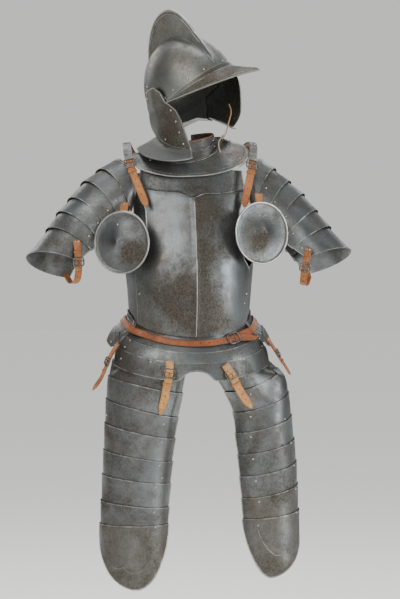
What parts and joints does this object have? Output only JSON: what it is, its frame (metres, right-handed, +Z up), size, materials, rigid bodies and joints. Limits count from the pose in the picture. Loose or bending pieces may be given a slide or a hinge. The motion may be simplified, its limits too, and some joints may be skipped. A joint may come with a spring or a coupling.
{
  "type": "corselet armour",
  "caption": "Worn-form infantry corselet: comb helmet, gorget, breast and back, lamed shoulders, discs, skirt and knee-length thigh defences, hollow and open for a wearer.",
  "frame": {"origin": "base of the wearer's neck, on the body's middle line, where the armour hangs on the shoulders", "axes": "+Z up, chest facing -Y, the wearer's left towards +X"},
  "size_m": [0.7731, 0.3913, 1.335],
  "materials": {
    "plate_steel": "blackened, worn",
    "helmet_steel": "browned, worn",
    "strap_leather": "tan, waxed",
    "thong_leather": "raw"
  },
  "bodies": {
    "root": {"breastplate": "plate_steel", "backplate": "plate_steel", "fauld_1": "plate_steel", "fauld_2": "plate_steel", "fauld_3": "plate_steel", "culet_1": "plate_steel", "culet_2": "plate_steel", "gorget_front": "plate_steel", "gorget_back": "plate_steel", "collar_lame_lower": "plate_steel", "collar_lame_upper": "plate_steel", "spaudler_right_1": "plate_steel", "spaudler_right_2": "plate_steel", "spaudler_right_3": "plate_steel", "spaudler_right_4": "plate_steel", "spaudler_right_5": "plate_steel", "spaudler_right_6": "plate_steel", "tasset_right_1": "plate_steel", "tasset_right_2": "plate_steel", "tasset_right_3": "plate_steel", "tasset_right_4": "plate_steel", "tasset_right_5": "plate_steel", "tasset_right_6": "plate_steel", "tasset_right_7": "plate_steel", "tasset_right_knee": "plate_steel", "besagew_right": "plate_steel", "spaudler_left_1": "plate_steel", "spaudler_left_2": "plate_steel", "spaudler_left_3": "plate_steel", "spaudler_left_4": "plate_steel", "spaudler_left_5": "plate_steel", "spaudler_left_6": "plate_steel", "tasset_left_1": "plate_steel", "tasset_left_2": "plate_steel", "tasset_left_3": "plate_steel", "tasset_left_4": "plate_steel", "tasset_left_5": "plate_steel", "tasset_left_6": "plate_steel", "tasset_left_7": "plate_steel", "tasset_left_knee": "plate_steel", "besagew_left": "plate_steel", "burgonet_skull": "helmet_steel", "burgonet_peak": "helmet_steel", "cheekpiece_right": "helmet_steel", "cheekpiece_left": "helmet_steel", "neck_guard": "helmet_steel", "waist_belt": "strap_leather", "shoulder_strap_right": "strap_leather", "besagew_strap_right": "strap_leather", "arm_strap_right": "strap_leather", "thigh_strap_right": "strap_leather", "hip_strap_right": "strap_leather", "shoulder_strap_left": "strap_leather", "besagew_strap_left": "strap_leather", "arm_strap_left": "strap_leather", "thigh_strap_left": "strap_leather", "hip_strap_left": "strap_leather", "cheek_lace": "thong_leather"}
  },
  "joints": []
}
